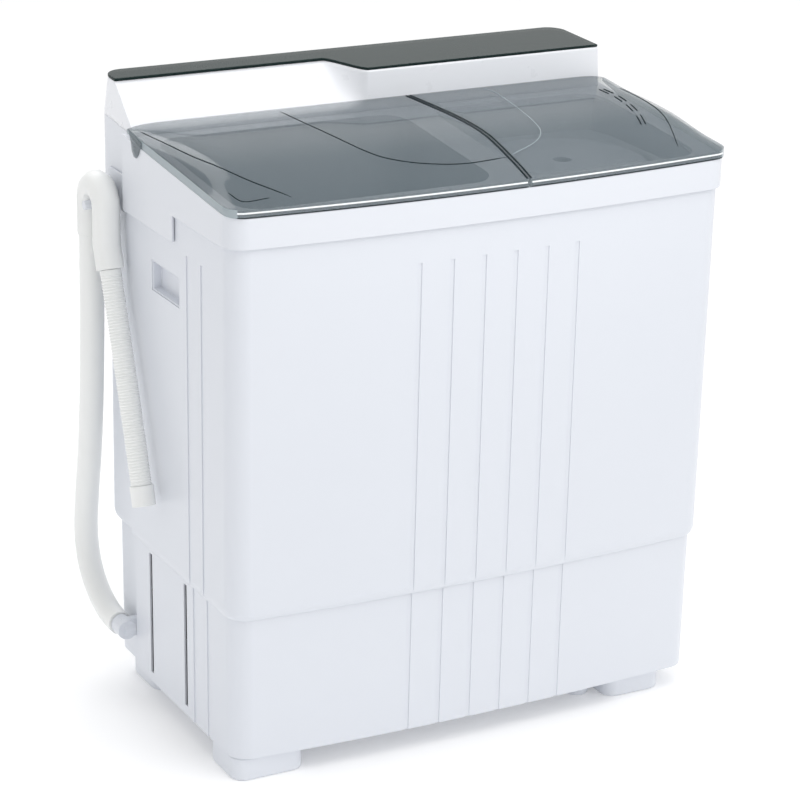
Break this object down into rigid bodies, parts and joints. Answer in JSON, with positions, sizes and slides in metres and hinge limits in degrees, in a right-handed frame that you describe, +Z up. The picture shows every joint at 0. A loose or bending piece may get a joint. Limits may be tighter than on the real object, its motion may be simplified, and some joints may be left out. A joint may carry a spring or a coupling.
{
  "type": "twin tub washer",
  "caption": "Free-standing twin tub washing machine: wide wash tub and round spin tub under smoked hinged lids, rear control console, hooked drain hose.",
  "frame": {"origin": "centre of the footprint, on the surface that the feet stand on", "axes": "+Z up, -Y towards the user at the front, +X to the user's right"},
  "size_m": [0.6616, 0.4324, 0.7424],
  "materials": {
    "white_abs": "glossy white moulded plastic",
    "tub_plastic": "smooth pale polypropylene",
    "smoked_plastic": "smoked transparent plastic",
    "grey_plastic": "satin grey plastic",
    "black_plastic": "matt black plastic",
    "black_rubber": "matt rubber",
    "steel": "bright turned steel",
    "iron": "dark painted iron and sheet steel",
    "hose_plastic": "pale flexible polyethylene"
  },
  "bodies": {
    "cabinet": {"back_cover": "white_abs", "back_cover_screw_1": "steel", "back_cover_screw_2": "steel", "back_cover_screw_3": "steel", "back_cover_screw_4": "steel", "base_plinth": "white_abs", "brake_post": "steel", "cabinet_shell": "white_abs", "console_housing": "white_abs", "control_deck": "white_abs", "drain_hose_lower": "hose_plastic", "drain_hose_upper": "hose_plastic", "drain_outlet": "white_abs", "drain_selector": "black_plastic", "drain_valve_body": "grey_plastic", "drive_belt": "black_rubber", "filter_case": "tub_plastic", "foot_front_left": "white_abs", "foot_front_right": "white_abs", "foot_rear_left": "white_abs", "foot_rear_right": "white_abs", "grip_left": "white_abs", "grip_right": "white_abs", "hose_cuff": "hose_plastic", "hose_elbow": "hose_plastic", "hose_hook": "white_abs", "pulsator_bearing": "grey_plastic", "pulsator_seal": "black_rubber", "spin_inner_cover": "white_abs", "spin_motor": "iron", "spin_motor_mount_1": "black_rubber", "spin_motor_mount_2": "black_rubber", "spin_motor_mount_3": "black_rubber", "spin_motor_plate": "iron", "spin_shaft_seal": "black_rubber", "spin_timer": "grey_plastic", "spin_tub": "tub_plastic", "support_foot": "white_abs", "top_frame": "white_abs", "wash_motor": "iron", "wash_motor_bracket": "iron", "wash_timer": "grey_plastic", "wash_tub": "tub_plastic"},
    "wash_lid": {"wash_lid": "smoked_plastic"},
    "spin_lid": {"spin_lid": "smoked_plastic"},
    "control_cover": {"control_cover": "smoked_plastic"},
    "wash_timer_knob": {"wash_timer_knob": "grey_plastic"},
    "drain_selector_knob": {"drain_selector_knob": "grey_plastic"},
    "spin_timer_knob": {"spin_timer_knob": "grey_plastic"},
    "pulsator": {"pulsator": "grey_plastic", "pulsator_shaft": "steel", "large_pulley": "iron"},
    "motor_pulley": {"motor_pulley": "steel"},
    "spin_basket": {"spin_basket": "tub_plastic", "spin_coupling": "grey_plastic", "spin_shaft": "steel", "brake_drum": "iron"},
    "brake_lever": {"brake_lever": "iron"},
    "drain_valve_plunger": {"drain_valve_plunger": "black_rubber"},
    "lint_filter": {"lint_filter": "grey_plastic"}
  },
  "joints": [
    {"name": "wash_lid_hinge", "type": "hinge", "parent": "cabinet", "child": "wash_lid", "pos_m": [-0.135, 0.0855, 0.6992], "axis": [-1, 0, 0], "range_deg": [0, 95]},
    {"name": "spin_lid_hinge", "type": "hinge", "parent": "cabinet", "child": "spin_lid", "pos_m": [0.178, 0.0855, 0.6992], "axis": [-1, 0, 0], "range_deg": [0, 95]},
    {"name": "control_cover_hinge", "type": "hinge", "parent": "cabinet", "child": "control_cover", "pos_m": [0, 0.1917, 0.7389], "axis": [-1, 0, 0], "range_deg": [0, 100]},
    {"name": "wash_timer_turn", "type": "hinge", "parent": "cabinet", "child": "wash_timer_knob", "pos_m": [0.04, 0.136, 0.727], "axis": [0, 0, -1], "range_deg": [0, 300]},
    {"name": "drain_selector_turn", "type": "hinge", "parent": "cabinet", "child": "drain_selector_knob", "pos_m": [0.112, 0.136, 0.727], "axis": [0, 0, -1], "range_deg": [0, 180]},
    {"name": "spin_timer_turn", "type": "hinge", "parent": "cabinet", "child": "spin_timer_knob", "pos_m": [0.246, 0.136, 0.727], "axis": [0, 0, -1], "range_deg": [0, 300]},
    {"name": "pulsator_spin", "type": "hinge", "parent": "cabinet", "child": "pulsator", "pos_m": [-0.134, -0.041, 0.2], "axis": [0, 0, 1], "continuous": true},
    {"name": "wash_motor_spin", "type": "hinge", "parent": "cabinet", "child": "motor_pulley", "pos_m": [-0.228, 0.078, 0.08], "axis": [0, 0, 1], "continuous": true},
    {"name": "spin_basket_spin", "type": "hinge", "parent": "cabinet", "child": "spin_basket", "pos_m": [0.176, -0.04, 0.2], "axis": [0, 0, 1], "continuous": true},
    {"name": "brake_lever_pivot", "type": "hinge", "parent": "cabinet", "child": "brake_lever", "pos_m": [0.236, 0.024, 0.182], "axis": [0, 0, 1], "range_deg": [0, 2.6]},
    {"name": "drain_valve_lift", "type": "slide", "parent": "cabinet", "child": "drain_valve_plunger", "axis": [0, 0, 1], "range_m": [0, 0.006]},
    {"name": "lint_filter_lift", "type": "slide", "parent": "cabinet", "child": "lint_filter", "axis": [0, 0, 1], "range_m": [0, 0.04]}
  ],
  "couplings": [
    {"joint": "wash_motor_spin", "follows": "pulsator_spin", "ratio": 5.793},
    {"joint": "brake_lever_pivot", "follows": "spin_lid_hinge", "ratio": 0.027368}
  ]
}
